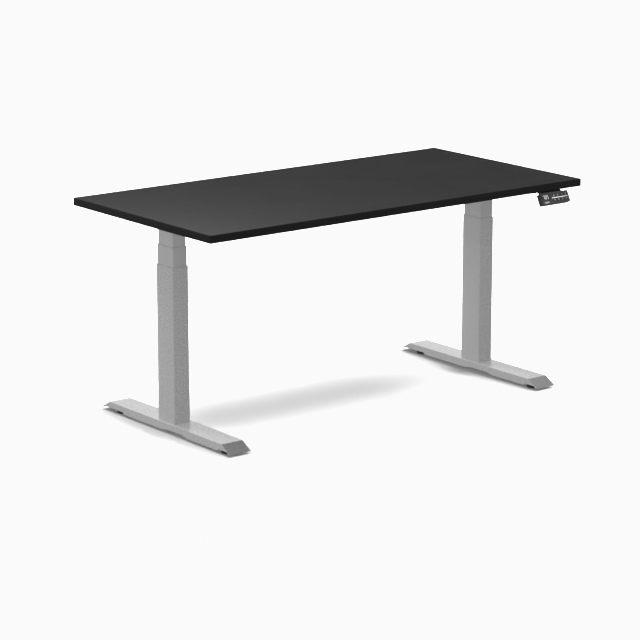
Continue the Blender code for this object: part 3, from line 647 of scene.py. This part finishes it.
PRESS = Vector(next(j["axis"] for j in frame["joints"] if j["name"] == "key_1_1_press")).normalized()
FACE_OUT = -PRESS
FACE_UP = FACE_OUT.cross(Vector((1, 0, 0)))
PANEL_LOW, PANEL_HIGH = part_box("handset_panel")
PANEL_THICKNESS = 0.0012
FACE_CENTRE = (PANEL_LOW + PANEL_HIGH) / 2 + FACE_OUT * PANEL_THICKNESS / 2
FACE = Matrix((
    (1.0, FACE_UP.x, FACE_OUT.x, FACE_CENTRE.x),
    (0.0, FACE_UP.y, FACE_OUT.y, FACE_CENTRE.y),
    (0.0, FACE_UP.z, FACE_OUT.z, FACE_CENTRE.z),
    (0.0, 0.0, 0.0, 1.0),
))
INK_THICKNESS, KEY_RISE = 0.00012, 0.0004
LIT_SEGMENTS = {
    "0": "abcdef", "1": "bc", "2": "abged", "3": "abgcd", "4": "fgbc", "5": "afgcd", "7": "abc",
}


def segment_bars(digit, centre, width, height, bar):
    """The lit bars of a seven-segment digit, leaning slightly to the right."""
    half_w, half_h, half, lean = width / 2, height / 2, bar / 2, 0.10
    middle = {
        "a": (0, half_h), "g": (0, 0), "d": (0, -half_h),
        "f": (-half_w, half_h / 2), "b": (half_w, half_h / 2),
        "e": (-half_w, -half_h / 2), "c": (half_w, -half_h / 2),
    }
    outlines = []
    for name in LIT_SEGMENTS[digit]:
        x, y = middle[name]
        level = name in "agd"
        reach = (half_w if level else half_h / 2) - 0.12 * bar
        tip = reach - half
        bar_points = [(-reach, 0), (-tip, half), (tip, half), (reach, 0), (tip, -half), (-tip, -half)]
        if not level:
            bar_points = [(v, u) for u, v in bar_points]
        outlines.append([(centre[0] + x + u + lean * (y + v), centre[1] + y + v) for u, v in bar_points])
    return outlines


def printed(name, outlines, height, material, body):
    """Flat marks on the face of the control panel or on a key."""
    mesh = finished(slabs(outlines, height, height + INK_THICKNESS), name, material)
    return piece(name, mesh, body, matrix=FACE)


def ring_outlines(radius, bar, centre, steps=16):
    """A ring as short bars, one for each step."""
    outer, inner = circle(radius, steps, centre), circle(radius - bar, steps, centre)
    return [
        [outer[i], outer[(i + 1) % steps], inner[(i + 1) % steps], inner[i]] for i in range(steps)
    ]


def key_mark(symbol, centre):
    """The outlines of a key's mark: an arrow, a ring, a clock or a number."""
    x, y = centre
    if symbol == "up":
        return [[(x - 0.0034, y - 0.0020), (x + 0.0034, y - 0.0020), (x, y + 0.0028)]]
    if symbol == "down":
        return [[(x - 0.0034, y + 0.0020), (x, y - 0.0028), (x + 0.0034, y + 0.0020)]]
    if symbol == "ring":
        return ring_outlines(0.0029, 0.0009, centre)
    if symbol == "hands":
        hands = [(x - 0.0004, y), (x - 0.0004, y + 0.0019), (x + 0.0004, y + 0.0019), (x + 0.0004, y)]
        return ring_outlines(0.0029, 0.0007, centre) + [hands]
    return segment_bars(symbol, centre, 0.0028, 0.0056, 0.0010)


def make_control_panel():
    """The handset: its housing, the panel with the lit height, a plain badge, and the marked keys."""
    refined("handset_housing", PLASTIC, 0.0009, 4)
    refined("handset_panel", PANEL, 0.00025, 2)
    window = rectangle(0.0400, 0.0200, 0.0012, (-0.0395, 0.0055))
    printed("display_window", [window], 0.0, WINDOW, "top")
    digits = []
    for digit, x in zip("705", (-0.0495, -0.0405, -0.0315)):
        digits += segment_bars(digit, (x, 0.0050), 0.0050, 0.0115, 0.0011)
    printed("display_digits", digits, INK_THICKNESS, LIT, "top")
    badge = rectangle(0.0205, 0.0042, 0.0020, (-0.0408, -0.0128))
    printed("panel_badge", [badge], 0.0, INK, "top")
    edge = [(-0.0150, 0.0012), (0.0280, 0.0010), (0.0540, 0.0006)]
    rule = [(x, -y) for x, y in edge] + edge[::-1]
    printed("panel_rule", [rule], 0.0, LIT, "top")
    face_inverse = FACE.inverted()
    marks = (("up", "ring", "1", "2"), ("down", "hands", "3", "4"))
    for row, symbols in enumerate(marks, 1):
        for column, symbol in enumerate(symbols, 1):
            key = f"key_{row}_{column}"
            refined(key, KEYTOP, 0.0004, 3)
            low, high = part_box(key)
            local = face_inverse @ ((low + high) / 2)
            printed(f"{key}_mark", key_mark(symbol, (local.x, local.y)), KEY_RISE, INK, key)
    low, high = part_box("handset_housing")
    plate_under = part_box("tabletop")[0].z - 0.0035
    screw_x, screw_y = (low.x + high.x) / 2, high.y - 0.017
    for number, dx in enumerate((-0.026, 0.026), 1):
        spot = (screw_x + dx, screw_y, plate_under)
        fasten(f"handset_screw_{number}", WOOD_SCREW, spot, (0, 0, -1), "top")


# ---------------------------------------------------------------- leads

MOTOR_LEAD_RADIUS, HANDSET_LEAD_RADIUS = 0.0025, 0.0020


def smooth_route(points, spacing):
    """Evenly spaced points on a smooth curve through the given ones."""
    points = [Vector(p) for p in points]
    ends = [2 * points[0] - points[1], *points, 2 * points[-1] - points[-2]]
    route = [points[0]]
    for before, start, end, after in zip(ends, ends[1:], ends[2:], ends[3:]):
        steps = max(1, round((end - start).length / spacing))
        for step in range(1, steps + 1):
            t = step / steps
            route.append(
                0.5
                * (
                    2 * start
                    + (end - before) * t
                    + (2 * before - 5 * start + 4 * end - after) * t**2
                    + (3 * start - before - 3 * end + after) * t**3
                )
            )
    return route


def make_lead(node, points, radius):
    """A lead's jacket along its route, which it also returns."""
    curve = bpy.data.curves.new(f"{node}_jacket", "CURVE")
    curve.dimensions = "3D"
    curve.bevel_depth = radius
    curve.bevel_resolution = 5
    curve.use_fill_caps = True
    route = smooth_route(points, 0.004)
    spline = curve.splines.new("POLY")
    spline.points.add(len(route) - 1)
    for point, spot in zip(spline.points, route):
        point.co = (*spot, 1.0)
    spline.use_smooth = True
    curve.materials.append(JACKET)
    piece(f"{node}_jacket", curve, "top", [node])
    return route


def make_clip(name, spot, along, radius):
    """A stick-on clip: a base under the board, a stem and a loop round the lead."""
    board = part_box("tabletop")[0].z
    half_width, half_stem, half_base, edge = 0.0025, 0.0012, 0.0075, 0.0004
    loop_radius = radius + 0.0014
    rim = loop_radius + 0.0012
    loop = turned([(0.0, -half_width), (rim, -half_width), (rim, half_width), (0.0, half_width)], 24)
    mesh = finished(loop, f"{name}_loop", ACETAL)
    mesh = cut(mesh, slabs([circle(radius + 0.0002, 20)], -0.01, 0.01))
    rounded(piece(f"{name}_loop", mesh, "top", matrix=facing(spot, along)), edge, 2)
    stem_low = (-half_stem, -half_width, spot.z + loop_radius + 0.0008)
    stem_high = (half_stem, half_width, board - 0.0020)
    base_low = (-half_base, -half_base, board - 0.0022)
    base_high = (half_base, half_base, board - 0.0002)
    stem = finished(boxes([(stem_low, stem_high), (base_low, base_high)]), f"{name}_base", ACETAL)
    side = Vector((-along.y, along.x, 0.0)).normalized()
    turn = Matrix.Rotation(math.atan2(side.x, -side.y), 4, "Z")
    stand = Matrix.Translation((spot.x, spot.y, 0.0)) @ turn
    rounded(piece(f"{name}_base", stem, "top", matrix=stand), edge, 2)


def clip_lead(name, route, shares, radius):
    """Clips a lead under the board at the given shares of its route."""
    for number, share in enumerate(shares, 1):
        index = int(share * len(route))
        along = (route[index + 1] - route[index - 1]).normalized()
        make_clip(f"{name}_clip_{number}", route[index], along, radius)


def make_boot(name, spot, outward, radius):
    """A ribbed strain relief where a lead leaves a housing."""
    profile = [(0.0, 0.0)]
    ribs, start, pitch, groove = 5, 0.0006, 0.0022, 0.0006
    for rib in range(ribs):
        z = start + rib * pitch
        out = radius + 0.0024 - rib * 0.00035
        profile += [(out, z), (out, z + 0.0014), (out - groove, z + 0.0016), (out - groove, z + 0.0020)]
    end = start + ribs * pitch
    profile += [(radius + 0.0003, end), (0.0, end)]
    boot = finished(turned(profile, 28), name, RUBBER)
    piece(name, boot, "top", matrix=facing(spot, outward))


def make_leads():
    """The two motor leads and the control panel's lead, along the routes of the CAD model."""
    tube_low, tube_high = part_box("left_outer_tube")
    home = (tube_low.y + tube_high.y) / 2
    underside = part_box("tabletop")[0].z
    leg_x, lead_z, motor_top = 0.63, 0.6645, 0.640
    port_x, boot_x, lead_y, handset_y = 0.104, 0.110, 0.026, -0.026
    for side, sign in SIDES:
        points = [
            (sign * leg_x, 0, motor_top + 0.0003),
            (sign * (leg_x - 0.001), 0, 0.650),
            (sign * (leg_x - 0.007), 0, 0.6592),
            (sign * (leg_x - 0.018), 0, lead_z),
            (sign * (leg_x - 0.060), 0, lead_z),
            (sign * 0.470, 0.012, lead_z - 0.004),
            (sign * 0.330, 0.036, lead_z - 0.002),
            (sign * 0.210, lead_y + 0.003, lead_z),
            (sign * 0.140, lead_y, lead_z),
            (sign * port_x, lead_y, lead_z),
        ]
        points = [(x, y + home, z) for x, y, z in points]
        route = make_lead(f"{side}_motor_lead", points, MOTOR_LEAD_RADIUS)
        clip_lead(f"{side}_lead", route, (0.32, 0.62), MOTOR_LEAD_RADIUS)
        port = (sign * boot_x, lead_y + home, lead_z)
        make_boot(f"{side}_lead_boot", port, (sign, 0, 0), MOTOR_LEAD_RADIUS)
    points = [
        (0.572, -0.3500, underside - 0.0060),
        (0.560, -0.3440, underside - 0.0065),
        (0.520, -0.3150, underside - 0.0090),
        (0.440, -0.2500, underside - 0.0140),
        (0.360, -0.1800, underside - 0.0240),
        (0.300, -0.1280, underside - 0.0300),
        (0.255, -0.0900, underside - 0.0302),
        (0.205, -0.0480, underside - 0.0220),
        (0.150, handset_y - 0.002, lead_z),
        (port_x + 0.010, handset_y, lead_z),
        (port_x, handset_y, lead_z),
    ]
    points = [(x, y + home, z) for x, y, z in points]
    route = make_lead("handset_lead", points, HANDSET_LEAD_RADIUS)
    clip_lead("handset_lead", route, (0.14, 0.36), HANDSET_LEAD_RADIUS)
    port = (boot_x, handset_y + home, lead_z)
    make_boot("handset_lead_boot", port, (1, 0, 0), HANDSET_LEAD_RADIUS)


# ---------------------------------------------------------------- drive inside the columns


def dress_hidden_nodes():
    """The drive inside the columns keeps its CAD shapes and gets its real finishes."""
    finishes = {
        "push_tube": STEEL,
        "base_nut": ACETAL,
        "drag_tube": STEEL,
        "screw_tube": STEEL,
        "spindle": STEEL,
        "motor": ZINC,
        "gearbox": CASTING,
    }
    for side, _ in SIDES:
        for part, material in finishes.items():
            mesh = NODES[f"{side}_{part}"].data
            mesh.materials.clear()
            mesh.materials.append(material)


# ---------------------------------------------------------------- studio

PAPER_WHITE = 0.956
FLOOR_UNSEEN = 0.46
PAINTED_SHADE_REACH = 0.08
# Painted contact shade: the floor's colour is set by how open it is to the room, grey under and beside a foot,
# pale elsewhere.
FLOOR_PAINTED_SHADE = ((0.0, 0.32), (0.3, 0.42), (0.6, 0.41), (0.95, 0.385), (1.0, 0.9))
ABOVE, FROM_BACK_LEFT, FROM_FRONT_LEFT = (0.0, 0.0, 1.0), (-0.10, 0.80, 0.66), (-0.84, -0.50, 0.08)
# Each sun of the desk comes twice, once casting shadows and once without them.
FLOOR_WASH, FLOOR_FILL = 10.4, 1.0
BACK_LEFT, BACK_LEFT_OPEN = 2.1, 2.6
FRONT_LEFT, FRONT_LEFT_OPEN = 0.95, 0.72
BOARD_LAMP = 195.0
SKY, HORIZON_IN_GLOSS, ZENITH_IN_GLOSS = 0.35, 1.05, 0.38


def make_floor():
    """A plain pale floor: lit for the camera, with a soft contact shade painted into its colour, and an even glow
    for the desk.
    """
    mesh = bpy.data.meshes.new("floor")
    shape = bmesh.new()
    bmesh.ops.create_grid(shape, x_segments=1, y_segments=1, size=60.0)
    shape.to_mesh(mesh)
    shape.free()
    material = bpy.data.materials.new("floor")
    material.use_nodes = True
    tree = material.node_tree
    tree.nodes.remove(tree.nodes["Principled BSDF"])
    seen = tree.nodes.new("ShaderNodeBsdfDiffuse")
    unseen = tree.nodes.new("ShaderNodeEmission")
    unseen.inputs["Strength"].default_value = FLOOR_UNSEEN
    # Painted shade: occlusion darkens the floor's own colour where things stand close over it.
    contact = tree.nodes.new("ShaderNodeAmbientOcclusion")
    contact.samples = 12
    contact.inputs["Distance"].default_value = PAINTED_SHADE_REACH
    shade = tree.nodes.new("ShaderNodeValToRGB")
    stops = shade.color_ramp.elements
    while len(stops) < len(FLOOR_PAINTED_SHADE):
        stops.new(0.5)
    for stop, (openness, tone) in zip(stops, FLOOR_PAINTED_SHADE):
        stop.position = openness
        stop.color = (tone, tone, tone, 1.0)
    tree.links.new(contact.outputs["AO"], shade.inputs["Fac"])
    tree.links.new(shade.outputs["Color"], seen.inputs["Color"])
    path = tree.nodes.new("ShaderNodeLightPath")
    mix = tree.nodes.new("ShaderNodeMixShader")
    tree.links.new(path.outputs["Is Camera Ray"], mix.inputs[0])
    tree.links.new(unseen.outputs["Emission"], mix.inputs[1])
    tree.links.new(seen.outputs["BSDF"], mix.inputs[2])
    tree.links.new(mix.outputs["Shader"], tree.nodes["Material Output"].inputs["Surface"])
    mesh.materials.append(material)
    floor = bpy.data.objects.new("floor", mesh)
    bpy.context.scene.collection.objects.link(floor)
    return floor


def add_sun(name, energy, spread, towards, receivers, shadows=True):
    """A far soft light from the side that towards points to, left out of reflections."""
    sun = bpy.data.lights.new(name, "SUN")
    sun.energy = energy
    sun.use_shadow = shadows
    sun.angle = math.radians(spread)
    lamp = bpy.data.objects.new(name, sun)
    lamp.rotation_euler = Vector(towards).to_track_quat("Z", "Y").to_euler()
    bpy.context.scene.collection.objects.link(lamp)
    lamp.light_linking.receiver_collection = receivers
    lamp.visible_glossy = False


def add_lamp(name, power, spot, aim, receivers):
    """A near soft light that fades over what it lights, left out of reflections."""
    area = bpy.data.lights.new(name, "AREA")
    area.energy = power
    area.size = 0.6
    lamp = bpy.data.objects.new(name, area)
    lamp.location = spot
    lamp.rotation_euler = (Vector(spot) - Vector(aim)).to_track_quat("Z", "Y").to_euler()
    bpy.context.scene.collection.objects.link(lamp)
    lamp.light_linking.receiver_collection = receivers
    lamp.visible_glossy = False
    lamp.visible_camera = False


def make_light(floor):
    """A wash from above on the floor, soft suns and a pale sky on the desk, a lamp for the board."""
    groups = {}
    for name, state in (("floor_only", "INCLUDE"), ("desk_only", "EXCLUDE")):
        groups[name] = bpy.data.collections.new(name)
        groups[name].objects.link(floor)
        groups[name].collection_objects[0].light_linking.link_state = state
    groups["board_only"] = bpy.data.collections.new("board_only")
    groups["board_only"].objects.link(bpy.data.objects["worktop_board"])
    add_sun("floor_wash", FLOOR_WASH, 68, (0.14, -0.06, 1.0), groups["floor_only"])
    add_sun("floor_fill", FLOOR_FILL, 10, ABOVE, groups["floor_only"], shadows=False)
    add_sun("back_left", BACK_LEFT, 20, FROM_BACK_LEFT, groups["desk_only"])
    add_sun("back_left_open", BACK_LEFT_OPEN, 20, FROM_BACK_LEFT, groups["desk_only"], shadows=False)
    add_sun("front_left", FRONT_LEFT, 40, FROM_FRONT_LEFT, groups["desk_only"])
    add_sun("front_left_open", FRONT_LEFT_OPEN, 40, FROM_FRONT_LEFT, groups["desk_only"], shadows=False)
    add_lamp("board_left", BOARD_LAMP, (-1.75, -0.60, 1.35), (-0.5, 0.0, 0.7), groups["board_only"])
    world = bpy.data.worlds.new("studio")
    world.use_nodes = True
    tree = world.node_tree
    background = tree.nodes["Background"]
    background.inputs["Color"].default_value = (1.0, 1.0, 1.0, 1.0)
    path = tree.nodes.new("ShaderNodeLightPath")
    direction = tree.nodes.new("ShaderNodeTexCoord")
    split = tree.nodes.new("ShaderNodeSeparateXYZ")
    tree.links.new(direction.outputs["Generated"], split.inputs["Vector"])
    mirrored = tree.nodes.new("ShaderNodeMapRange")
    mirrored.interpolation_type = "SMOOTHSTEP"
    mirrored.inputs["From Min"].default_value = 0.30
    mirrored.inputs["From Max"].default_value = 0.75
    mirrored.inputs["To Min"].default_value = HORIZON_IN_GLOSS
    mirrored.inputs["To Max"].default_value = ZENITH_IN_GLOSS
    tree.links.new(split.outputs["Z"], mirrored.inputs["Value"])
    strength = tree.nodes.new("ShaderNodeMapRange")
    strength.inputs["To Min"].default_value = SKY
    tree.links.new(mirrored.outputs["Result"], strength.inputs["To Max"])
    tree.links.new(path.outputs["Is Glossy Ray"], strength.inputs["Value"])
    tree.links.new(strength.outputs["Result"], background.inputs["Strength"])
    bpy.context.scene.world = world


def make_camera():
    """A long lens from the front left, a little above the worktop."""
    top_low, top_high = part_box("tabletop")
    centre_y = (top_low.y + top_high.y) / 2
    look_down, look_right = 0.2392, 0.6596
    camera = bpy.data.cameras.new("camera")
    camera.lens = 148.07
    camera.sensor_width = 36.0
    camera.clip_end = 200.0
    obj = bpy.data.objects.new("camera", camera)
    obj.location = Vector((-5.1605, -6.5918 + centre_y, 1.6016 + top_high.z))
    obj.rotation_euler = (math.pi / 2 - look_down, 0.0, -look_right)
    bpy.context.scene.collection.objects.link(obj)
    bpy.context.scene.camera = obj


def set_tone_curve():
    """Linear tones that stop at a pale grey instead of pure white."""
    view = bpy.context.scene.view_settings
    view.view_transform = "Standard"
    view.use_curve_mapping = True
    view.curve_mapping.extend = "HORIZONTAL"
    tone = view.curve_mapping.curves[3]
    tone.points[1].location = (1.0, PAPER_WHITE)
    view.curve_mapping.update()


set_tone_curve()
make_camera()
make_worktop()
make_tubes()
make_feet()
make_frame()
make_control_box()
make_control_panel()
make_leads()
dress_hidden_nodes()
make_light(make_floor())
